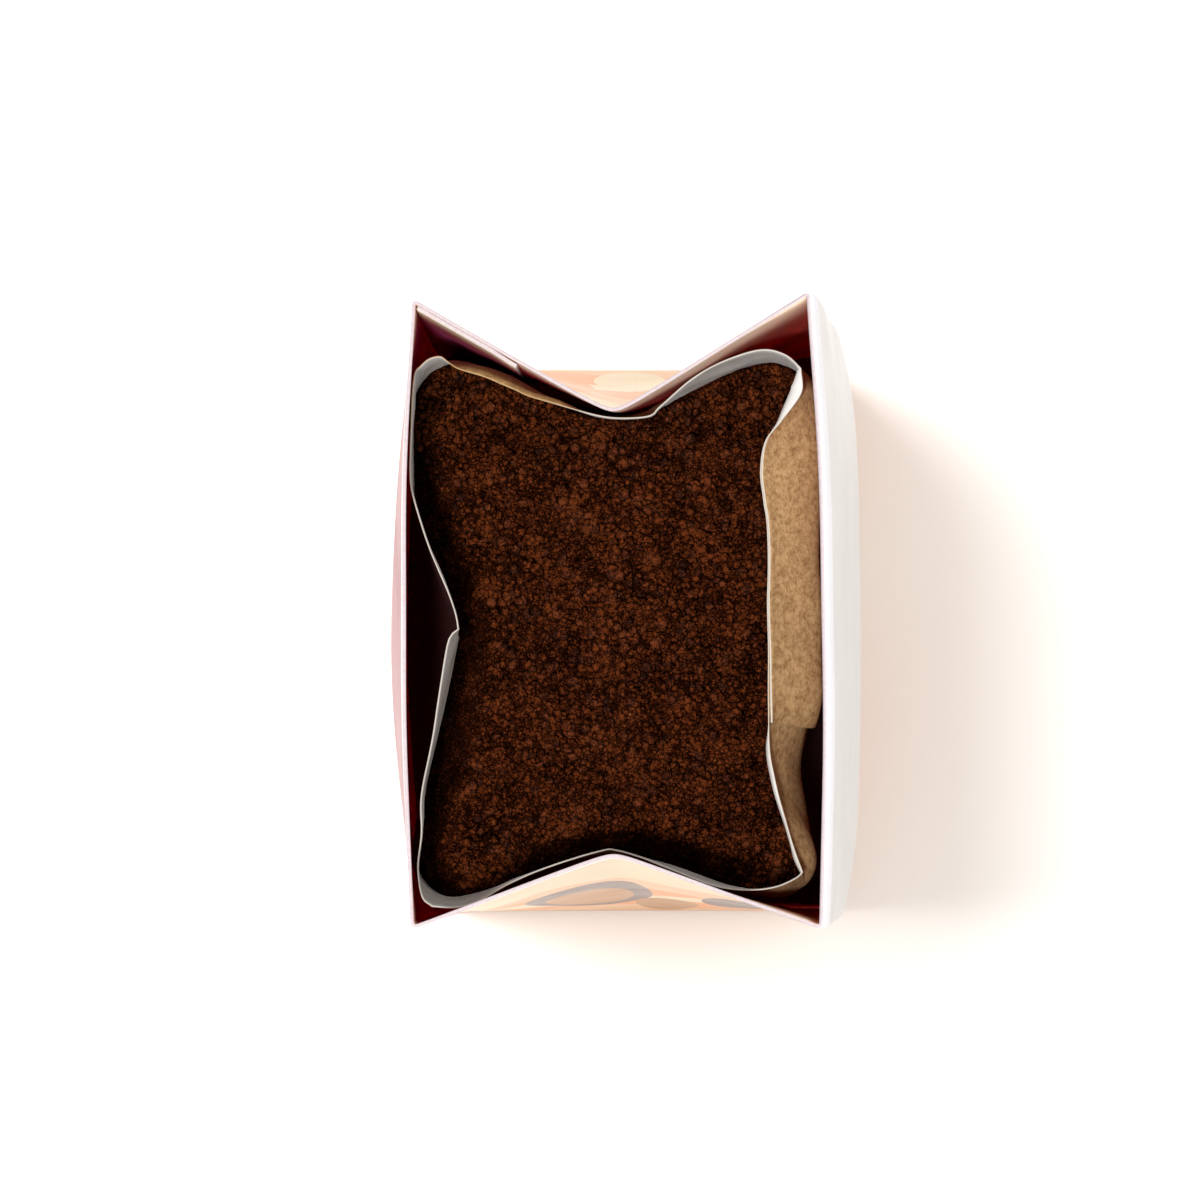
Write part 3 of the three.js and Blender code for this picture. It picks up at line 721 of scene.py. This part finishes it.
def pale_coat():
    """A pale grey with faint brown bloom from slow noise, under a soft sheen."""
    material, tree, shader = start_material("pale_coated_paper", Roughness=0.45, IOR=1.48)
    place = add(tree, "TexCoord").outputs["Object"]
    cloud = add(tree, "TexNoise", {"Vector": place, "Scale": 0.09 / MM, "Detail": 5.0})
    bloom = add(tree, "MapRange", {0: cloud, 1: 0.45, 2: 0.75})
    tint = add(tree, "Mix", {0: bloom, 6: linear(COAT_GREY), 7: linear(COAT_STAIN)}, data_type="RGBA")
    feed(tree, shader, {"Base Color": tint})
    return material


# The paper's own cut edge: the pale coat shows in it, but only brown pulp in the far left, where it is torn.
CUT_COAT = "#c6bdb0"
CUT_PULP = "#b5946a"
TORN_ACROSS = (-4.0, -14.0)
TORN_ALONG = (26.0, 34.0)


def torn_edge():
    """The two colours of the edge, mixed by the product of a ramp across and one along."""
    material, tree, shader = start_material("cut_paper_edge", Roughness=0.8)
    x, y, _ = add(tree, "SeparateXYZ", {0: add(tree, "TexCoord").outputs["Object"]}).outputs
    left = add(tree, "MapRange", {0: x, **between(TORN_ACROSS)})
    far = add(tree, "MapRange", {0: y, **between(TORN_ALONG)})
    torn = add(tree, "Math", {0: left, 1: far}, operation="MULTIPLY")
    tint = add(tree, "Mix", {0: torn, 6: linear(CUT_COAT), 7: linear(CUT_PULP)}, data_type="RGBA")
    feed(tree, shader, {"Base Color": tint})
    return material


liner_points, liner_heights, liner_way = liner_rings()
liner_outer = LOW_ROWS + COLLAR_ROWS
liner_bands = np.array([0] * liner_outer + [1] + [2] * liner_outer)
liner = shell_piece("kraft_liner", liner_points, liner_way, liner_heights, liner_bands, PLACE)
for material in (brown_kraft(), torn_edge(), pale_coat()):
    liner.data.materials.append(material)
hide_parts("liner_bag")
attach(liner, BODY)

# The liner's lap.
# The tube's second edge, lapped over the first down the right side and glued low down. Its end is cut
# straight, and at the mouth it stands off the ply below.
LAP_FROM = 35.0
LAP_END = -19.0
LAP_TAPER = 9.0
LAP_FOOT = 96.0
LAP_LOOSE = {"rim": 0.25, "most": 1.25, "from": 110.0, "to": 147.0, "reach": 20.0}
LAP_GAP = 0.04
LAP_PRESS = 0.02
LAP_GRAIN = 300.0


def lap_faces():
    """The lap's two faces: the liner's outside, moved out, thin at its start and lifted at its end."""
    outside = liner_points[1:1 + liner_outer]
    first = LINER_COUNTS["far"]
    columns = slice(first, first + LINER_COUNTS["right"])
    ring = outside[outside[:, 0, 2] > LAP_FOOT]
    level = ring[:, :1, 2]
    loose = ease(LAP_LOOSE["from"], LAP_LOOSE["to"], level) * LAP_LOOSE["most"]
    loose = loose + (LAP_LOOSE["rim"] - LAP_LOOSE["most"]) * ease(LAP_LOOSE["to"], RIM_HEIGHT, level)
    lift = loose * ease(LAP_END + LAP_LOOSE["reach"], LAP_END, ring[..., 1])
    start = ease(LAP_FROM, LAP_FROM - LAP_TAPER, ring[..., 1])
    near = ring[:, columns, 1]
    goal = np.linspace(LAP_FROM, LAP_END, LINER_COUNTS["right"])
    faces = []
    for depth in (2 * PAPER, 0.0):
        x, y = inset(ring[..., 0], ring[..., 1], -(lift + depth * start + LAP_GAP * start - LAP_PRESS))
        picked = [np.stack([np.interp(-goal, -near[k], part[k, columns]) for k in range(len(ring))])
                  for part in (x, y, ring[..., 2])]
        faces.append(np.stack(picked, -1))
    return faces


lap_outer, lap_inner = lap_faces()
lap = slab_piece("liner_lap", lap_outer, lap_inner, PLACE)
lap_uv = lap.data.uv_layers.new(name="Sheet")
lap_where = np.zeros((len(lap.data.loops), 2), np.float32)
lap_index = np.zeros(len(lap.data.loops), np.int32)
lap.data.loops.foreach_get("vertex_index", lap_index)
lap_spots = np.concatenate([lap_outer.reshape(-1, 3), lap_inner.reshape(-1, 3)])
lap_where[:, 0], lap_where[:, 1] = lap_spots[lap_index, 1] + LAP_GRAIN, lap_spots[lap_index, 2]
lap_uv.data.foreach_set("uv", lap_where.ravel())
lap.data.materials.append(liner.data.materials[0])
lap.data.materials.append(liner.data.materials[1])
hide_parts("liner_bag")
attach(lap, BODY)

# The coffee.
# Roasted beans ground to a medium grind, angular crumbs of 0.36 to 2.5 mm. They lie in a heap that was shaken
# level: a core carries the finest grounds as relief, and the crumbs that show lie loose on it.
COFFEE_LEVEL = 132.0
COFFEE_SINK = 0.1
CORE_GRID = (210, 290)
CORE_LEVELS = (118.0, 90.0, 45.0, LINER_FLOOR + LINER_EDGE + 1.0)
CORE_FOOT = {"draw": 0.985, "drop": 0.7}
GROUND_SEED = 41
CRUMB_CELLS = ((5.2, 1.6), (2.3, 1.2), (1.35, 0.8), (0.78, 0.45))
CRUMB_DOME = {"edge": 0.15, "room": 0.7, "steep": 1.6, "lift": 0.2}
CRUMB_DROP = 1.3
HOLLOW = {"depth": 0.55, "length": 44.0}
DIMPLE = {"depth": 0.8, "x": 3.9, "y": 4.7, "bend_x": (0.6, 6.1), "bend_y": (0.8, 7.3)}
PAPER_RISE = {"height": 0.8, "from": 0.5, "x": 36.0, "y": 50.0}
LEFT_CREVICE = {"depth": 9.0, "reach": 0.11, "end": (0.75, 0.95)}
NEAR_CREVICE = {"depth": 8.0, "reach": 0.07, "rise": (0.1, 0.4), "fall": (0.7, 0.95)}


def cell_value(cell_x, cell_y, seed):
    """A steady random number from 0 to 1 for each cell: the fraction left by a large sine of its numbers."""
    raw = np.sin(cell_x * 127.1 + cell_y * 311.7 + seed * 74.7) * 43758.5453
    return raw - np.floor(raw)


def crumb_relief(x, y, size, height, seed):
    """Packed crumbs as a height: each cell holds one leaning dome, and the highest of nine cells counts."""
    cell_x, cell_y = np.floor(x / size), np.floor(y / size)
    edge, room = CRUMB_DOME["edge"], CRUMB_DOME["room"]
    best = np.full(x.shape, -1.0)
    for step_x in (-1, 0, 1):
        for step_y in (-1, 0, 1):
            i, j = cell_x + step_x, cell_y + step_y
            middle_x = (i + edge + room * cell_value(i, j, seed)) * size
            middle_y = (j + edge + room * cell_value(i, j, seed + 1)) * size
            lean_x = cell_value(i, j, seed + 2) - 0.5
            lean_y = cell_value(i, j, seed + 3) - 0.5
            far_x, far_y = (x - middle_x) / size, (y - middle_y) / size
            dome = cell_value(i, j, seed + 4) - CRUMB_DOME["steep"] * (far_x ** 2 + far_y ** 2)
            best = np.maximum(best, dome + lean_x * far_x + lean_y * far_y)
    return height * (best + CRUMB_DOME["lift"])


def crevice(across, along):
    """How deep the coffee has slid from the left wall and the near fold, by its shares across and along."""
    left, near = LEFT_CREVICE, NEAR_CREVICE
    wall = left["depth"] * (1 - ease(0.0, left["reach"], across)) * (1 - ease(*left["end"], along))
    fold = near["depth"] * hump(near["rise"], near["fall"], across) * (1 - ease(0.0, near["reach"], along))
    return wall + fold


def coffee_height(x, y, across, along):
    """The coffee's top: its level, hollows and dimples of sines, a rise at the paper, and the crumbs."""
    turn = 2 * np.pi / HOLLOW["length"]
    hollow = 1 - np.sin(x * turn + 1) * np.cos((y - x / 3) * turn)
    (swing_x, length_x), (swing_y, length_y) = DIMPLE["bend_x"], DIMPLE["bend_y"]
    dimple_x = np.sin(x / DIMPLE["x"] + swing_x * np.sin(y / length_x))
    dimple_y = np.sin(y / DIMPLE["y"] + swing_y * np.sin(x / length_y))
    from_middle = np.hypot(x / PAPER_RISE["x"], y / PAPER_RISE["y"])
    rise = PAPER_RISE["height"] * ease(PAPER_RISE["from"], 1.0, from_middle)
    crumbs = sum(crumb_relief(x, y, size, height, 10 * k) for k, (size, height) in enumerate(CRUMB_CELLS))
    smooth = COFFEE_LEVEL + rise - HOLLOW["depth"] * hollow + DIMPLE["depth"] * dimple_x * dimple_y
    return smooth + crumbs - CRUMB_DROP - crevice(across, along)


def resample(x, y, count):
    """One run of points walked again in count even steps, ends included."""
    way = np.concatenate([[0.0], np.cumsum(np.hypot(np.diff(x), np.diff(y)))])
    goal = np.linspace(0, way[-1], count + 1)
    return np.stack([np.interp(goal, way, x), np.interp(goal, way, y)], -1)


def coffee_edges(height, margin):
    """The liner's inside at a height, in four runs: far and near from the left, both sides from near."""
    x, y = inset(*liner_outline([height]), PAPER + margin)
    x, y = np.append(x[0], x[0, 0]), np.append(y[0], y[0, 0])
    ends = np.cumsum([0] + [LINER_COUNTS[name] for name in KNOTS])
    far, right, near, left = (resample(x[start:end + 1], y[start:end + 1], steps)
                              for start, end, steps in zip(ends, ends[1:], CORE_GRID + CORE_GRID))
    return far, right[::-1], near[::-1], left


def stretched(far, right, near, left):
    """A grid between four edge runs: the sum of both straight ways across, less the way between corners."""
    u = np.linspace(0, 1, len(far))[None, :, None]
    v = np.linspace(0, 1, len(left))[:, None, None]
    sides = left[:, None] * (1 - u) + right[:, None] * u
    ends = near[None] * (1 - v) + far[None] * v
    corners = (left[0] * (1 - u) + right[0] * u) * (1 - v) + (left[-1] * (1 - u) + right[-1] * u) * v
    return sides + ends - corners


def core_piece():
    """The core: the relief on top, walls down inside the liner and a flat foot."""
    across, along = CORE_GRID
    top = stretched(*coffee_edges(COFFEE_LEVEL, -COFFEE_SINK))
    share_x, share_y = np.meshgrid(np.linspace(0, 1, across + 1), np.linspace(0, 1, along + 1))
    heights = coffee_height(top[..., 0], top[..., 1], share_x, share_y)
    surface = np.concatenate([top, heights[..., None]], -1)
    number = np.arange((across + 1) * (along + 1)).reshape(along + 1, across + 1)
    quads = np.stack([number[:-1, :-1], number[:-1, 1:], number[1:, 1:], number[1:, :-1]], -1).reshape(-1, 4)
    rim = np.concatenate([number[-1, :-1], number[:0:-1, -1], number[0, :0:-1], number[:-1, 0]])
    lower = []
    for level in CORE_LEVELS:
        far, right, near, left = coffee_edges(level, COFFEE_SINK)
        ring = np.concatenate([far[:-1], right[:0:-1], near[:0:-1], left[:-1]])
        lower.append(np.concatenate([ring, np.full((len(ring), 1), level)], 1))
    draw = CORE_FOOT["draw"]
    foot = lower[-1] * (draw, draw, 1.0) - (0.0, 0.0, CORE_FOOT["drop"])
    points = np.concatenate([surface.reshape(-1, 3), *lower, foot])
    count = len(rim)
    loops = [rim] + [number.size + k * count + np.arange(count) for k in range(len(lower) + 1)]
    walls = [np.stack([b, a, np.roll(a, -1), np.roll(b, -1)], -1) for a, b in zip(loops, loops[1:])]
    faces = np.concatenate([quads, *walls])
    corners = np.concatenate([faces.reshape(-1), loops[-1]])
    sizes = np.concatenate([np.full(len(faces), 4), [count]])
    return fill_mesh("coffee_core", points, corners, sizes, True, PLACE)


# Roasted coffee: dry, brittle and almost black in its pores, brown where it broke. Only the larger pieces
# keep some of the bean's faint oily gloss.
ROAST_PORE = "#050200"
ROAST = "#2a1007"
ROAST_LIGHT = "#663116"
ROAST_MIX = {"patch": 0.9, "pores": 2.4, "base": -1.65}
CORE_TONE = {"least": 0.28, "range": 0.14, "cell": 1.1, "seed": 5}


def roasted_coffee(name, gloss):
    """Crumb tones from the piece's own tone attribute and from noise of 0.4 and of 6 mm."""
    material, tree, shader = start_material(name, Roughness=0.7, Specular_IOR_Level=gloss)
    place = add(tree, "TexCoord").outputs["Object"]
    tone = add(tree, "Attribute", attribute_name="tone").outputs["Fac"]
    pores = add(tree, "TexNoise", {"Vector": place, "Scale": 2.5 / MM, "Detail": 3.0, "Roughness": 0.6})
    patch = add(tree, "TexNoise", {"Vector": place, "Scale": 0.17 / MM, "Detail": 2.0})
    mix = ROAST_MIX
    clumps = add(tree, "Math", {0: patch, 1: mix["patch"], 2: mix["base"]}, operation="MULTIPLY_ADD")
    mixed = add(tree, "Math", {0: pores, 1: mix["pores"], 2: clumps}, operation="MULTIPLY_ADD")
    whole = add(tree, "Math", {0: tone, 1: mixed}, operation="ADD")
    ramp = add(tree, "ValToRGB", {0: whole})
    stops = ramp.color_ramp.elements
    stops[0].color = linear(ROAST_PORE)
    stops[1].color = linear(ROAST_LIGHT)
    stops.new(0.5).color = linear(ROAST)
    pits = add(tree, "Bump", {"Strength": 0.8, "Distance": 0.3 * MM, "Height": pores})
    feed(tree, shader, {"Base Color": ramp, "Normal": pits})
    return material


def give_tone(piece, values):
    """Stores one tone for each point of a mesh, for its material to read."""
    piece.data.attributes.new("tone", "FLOAT", "POINT").data.foreach_set("value", values.astype(np.float32))


core = core_piece()
core_points = np.empty(len(core.data.vertices) * 3, np.float32)
core.data.vertices.foreach_get("co", core_points)
core_cells = np.floor(core_points.reshape(-1, 3) / MM / CORE_TONE["cell"])
core_random = cell_value(core_cells[:, 0], core_cells[:, 1], CORE_TONE["seed"])
give_tone(core, CORE_TONE["least"] + CORE_TONE["range"] * core_random)
core.data.materials.append(roasted_coffee("roasted_coffee_core", 0.0))
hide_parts("ground_coffee")
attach(core, BODY)

# The loose crumbs.
# Broken bean, each an angular splinter with a few flat faces. Four sizes lie over the core, sunk a little
# into each other, and a few flakes of the beans' silver skin are left among them. A kind has its name,
# number, sizes, the share of its size by which it may lie higher, and gloss.
GOLDEN = (1 + 5 ** 0.5) / 2
CRUMB_KINDS = (
    ("coffee_dust", 9900, (0.36, 0.62), 0.35, 0.0),
    ("coffee_fine", 9900, (0.75, 1.2), 0.7, 0.0),
    ("coffee_medium", 6400, (1.25, 1.9), 0.85, 0.0),
    ("coffee_coarse", 1000, (1.7, 2.5), 0.7, 0.06),
)
CRUMB_SHAPE = {"small": 1.4, "slim": 0.62, "stretch": 0.5, "jitter": 0.4, "sunk": 0.15}
# In the crumb tone, top is painted light on each crumb's top, and crevice is painted shade down in the
# crevice.
CRUMB_TONE = {"least": 0.3, "range": 0.35, "dark": 1.3, "top": 0.95, "less": 0.11, "crevice": 0.05}


def splinter():
    """The twelve points and twenty faces of an icosahedron, wound outwards."""
    a, b = 1.0, GOLDEN
    points = np.array([(-a, b, 0), (a, b, 0), (-a, -b, 0), (a, -b, 0), (0, -a, b), (0, a, b), (0, -a, -b),
                       (0, a, -b), (b, 0, -a), (b, 0, a), (-b, 0, -a), (-b, 0, a)]) / np.hypot(a, b)
    faces = np.array([(0, 11, 5), (0, 5, 1), (0, 1, 7), (0, 7, 10), (0, 10, 11), (1, 5, 9), (5, 11, 4),
                      (11, 10, 2), (10, 7, 6), (7, 1, 8), (3, 9, 4), (3, 4, 2), (3, 2, 6), (3, 6, 8),
                      (3, 8, 9), (4, 9, 5), (2, 4, 11), (6, 2, 10), (8, 6, 7), (9, 8, 1)])
    return points, faces


def turns(random, count):
    """Random rotations from unit quaternions: four normal numbers, scaled to length one, as a matrix."""
    q = random.normal(size=(count, 4))
    w, x, y, z = (q / np.linalg.norm(q, axis=1, keepdims=True)).T
    return np.stack([
        np.stack([1 - 2 * (y * y + z * z), 2 * (x * y - w * z), 2 * (x * z + w * y)], -1),
        np.stack([2 * (x * y + w * z), 1 - 2 * (x * x + z * z), 2 * (y * z - w * x)], -1),
        np.stack([2 * (x * z - w * y), 2 * (y * z + w * x), 1 - 2 * (x * x + y * y)], -1),
    ], 1)


def scattered(random, count, margin):
    """Places on the coffee: random shares across and along the core's own grid, so they keep to its edge."""
    grid = stretched(*coffee_edges(COFFEE_LEVEL, margin))
    across, along = CORE_GRID
    u, v = random.random(count) * across, random.random(count) * along
    i, j = np.floor(u).astype(int), np.floor(v).astype(int)
    fu, fv = (u - i)[:, None], (v - j)[:, None]
    low = grid[j, i] * (1 - fu) + grid[j, i + 1] * fu
    high = grid[j + 1, i] * (1 - fu) + grid[j + 1, i + 1] * fu
    return low * (1 - fv) + high * fv, u / across, v / along


def crumbs_piece(name, count, sizes, heave, random):
    """Joined splinters: each a jittered icosahedron, stretched, turned and set on the coffee, some higher.

    Its tone is its own random one, with painted light towards its top and painted shade down in the crevice.
    """
    shape, faces = splinter()
    form, shade = CRUMB_SHAPE, CRUMB_TONE
    spots, across, along = scattered(random, count, sizes[1] / 2)
    size = sizes[0] + (sizes[1] - sizes[0]) * random.random(count) ** form["small"]
    stretch = form["slim"] + form["stretch"] * random.random((count, 1, 3))
    jitter = 1 + form["jitter"] * (random.random((count, len(shape), 1)) - 0.5)
    local = shape[None] * jitter * stretch * size[:, None, None] / 2
    local = np.einsum("nij,nkj->nki", turns(random, count), local)
    raised = size * heave * (random.random(count) - form["sunk"])
    height = coffee_height(spots[:, 0], spots[:, 1], across, along) + raised
    middle = np.concatenate([spots, height[:, None]], 1)
    points = (local + middle[:, None]).reshape(-1, 3)
    index = (faces[None] + (np.arange(count) * len(shape))[:, None, None]).reshape(-1)
    piece = fill_mesh(name, points, index, np.full(count * len(faces), 3), False, PLACE)
    # Painted light and shade: a crumb is lighter towards its top, and darker down in the crevice.
    top_light = (local[..., 2] / size[:, None]).reshape(-1)
    own = shade["least"] + shade["range"] * random.random(count) ** shade["dark"]
    own = own - shade["crevice"] * crevice(across, along)
    give_tone(piece, np.repeat(own, len(shape)) + shade["top"] * top_light - shade["less"])
    return piece


random = np.random.default_rng(GROUND_SEED)
for name, count, sizes, heave, gloss in CRUMB_KINDS:
    crumbs = crumbs_piece(name, count, sizes, heave, random)
    crumbs.data.materials.append(roasted_coffee("roasted_" + name, gloss))
    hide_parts("ground_coffee")
    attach(crumbs, BODY)

# Silver skin: the bean's inner husk, which roasting turns to papery, matte, golden brown flakes.
CHAFF = "#8f5215"
FLAKES = 12
FLAKE_SIZES = (0.5, 1.0)
FLAKE_HEAVE = 1.0
flakes = crumbs_piece("silver_skin_flakes", FLAKES, FLAKE_SIZES, FLAKE_HEAVE, random)
flakes.data.materials.append(start_material("silver_skin", Base_Color=linear(CHAFF), Roughness=0.7)[0])
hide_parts("ground_coffee")
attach(flakes, BODY)

# The stage.
# A plain pale floor, overexposed as in a high key shot. Two broad lamps light the floor alone, so that the
# pack's shadow falls soft and pale to the lower right, and a smaller one lights the pack from the near left.
# Places and sizes here are in metres, powers in watts, and the floor's white in linear light.
FLOOR_REACH = 6.0
FLOOR_DROP = 0.02
FLOOR_WHITE = (0.93, 0.89, 0.85, 1.0)
FLOOR_LAMP = {"place": (-0.51, 0.2, 1.5), "size": 0.7, "power": 32.5}
FLOOR_FILL = {"place": (0.6, -0.1, 1.4), "size": 0.8, "power": 5.5}
PACK_LAMP = {"place": (-0.14, -0.25, 1.65), "size": 0.16, "power": 21.0}
LAMP_TARGET = (0.0, 0.0, 0.15)
WORLD_COLOUR = "#fffdfb"
WORLD_STRENGTH = 0.72


def aimed(thing, place, target):
    """Puts a light or camera at a place and looks at the target: its right is the view crossed with +Y."""
    view = (Vector(target) - Vector(place)).normalized()
    right = view.cross(Vector((0.0, 1.0, 0.0))).normalized()
    thing.location = place
    thing.rotation_euler = Matrix((right, right.cross(view), -view)).transposed().to_euler()


def lamp_for(name, lamp, link_state):
    """A round area lamp above the bag, which lights only the floor or all but it, by its link state."""
    data = bpy.data.lights.new(name, "AREA")
    data.shape = "DISK"
    data.size = lamp["size"]
    data.energy = lamp["power"]
    light = bpy.data.objects.new(name, data)
    bpy.context.scene.collection.objects.link(light)
    aimed(light, lamp["place"], LAMP_TARGET)
    lit = bpy.data.collections.new(name + "_reach")
    lit.objects.link(stage_floor)
    lit.collection_objects[0].light_linking.link_state = link_state
    light.light_linking.receiver_collection = lit


floor_corners = np.array([(-1, -1, 0), (1, -1, 0), (1, 1, 0), (-1, 1, 0)]) * FLOOR_REACH / MM
floor_place = (0.0, 0.0, -FLOOR_DROP)
stage_floor = fill_mesh("studio_floor", floor_corners, np.arange(4), np.array([4]), False, floor_place)
floor_paint = start_material("white_studio_floor", Base_Color=FLOOR_WHITE, Roughness=0.9)[0]
stage_floor.data.materials.append(floor_paint)
lamp_for("floor_lamp", FLOOR_LAMP, "INCLUDE")
lamp_for("floor_fill", FLOOR_FILL, "INCLUDE")
lamp_for("pack_lamp", PACK_LAMP, "EXCLUDE")

world = bpy.data.worlds.new("studio")
world.use_nodes = True
world.node_tree.nodes["Background"].inputs[0].default_value = linear(WORLD_COLOUR)
world.node_tree.nodes["Background"].inputs[1].default_value = WORLD_STRENGTH
bpy.context.scene.world = world
bpy.context.scene.view_settings.view_transform = "Standard"

# The camera.
# A long lens straight above the mouth, tipped a little over two degrees, so that the right face and the feet
# of both gussets show past the rim. Its eye is in millimetres, and the image in pixels.
EYE = (20.9, -33.1, 1190.0)
IMAGE_SIDE = 1200.0
FOCAL_PIXELS = 5860.0
NADIR_FROM_CENTRE = (135.0, 203.0)
SENSOR = 36.0
camera_data = bpy.data.cameras.new("camera")
camera_data.sensor_width = SENSOR
camera_data.lens = FOCAL_PIXELS / IMAGE_SIDE * SENSOR
camera = bpy.data.objects.new("camera", camera_data)
bpy.context.scene.collection.objects.link(camera)
eye = (np.array(EYE) + PLACE) * MM
sight = np.array((-NADIR_FROM_CENTRE[0] / FOCAL_PIXELS, NADIR_FROM_CENTRE[1] / FOCAL_PIXELS, -1.0))
aimed(camera, tuple(eye), tuple(eye + sight))
bpy.context.scene.camera = camera
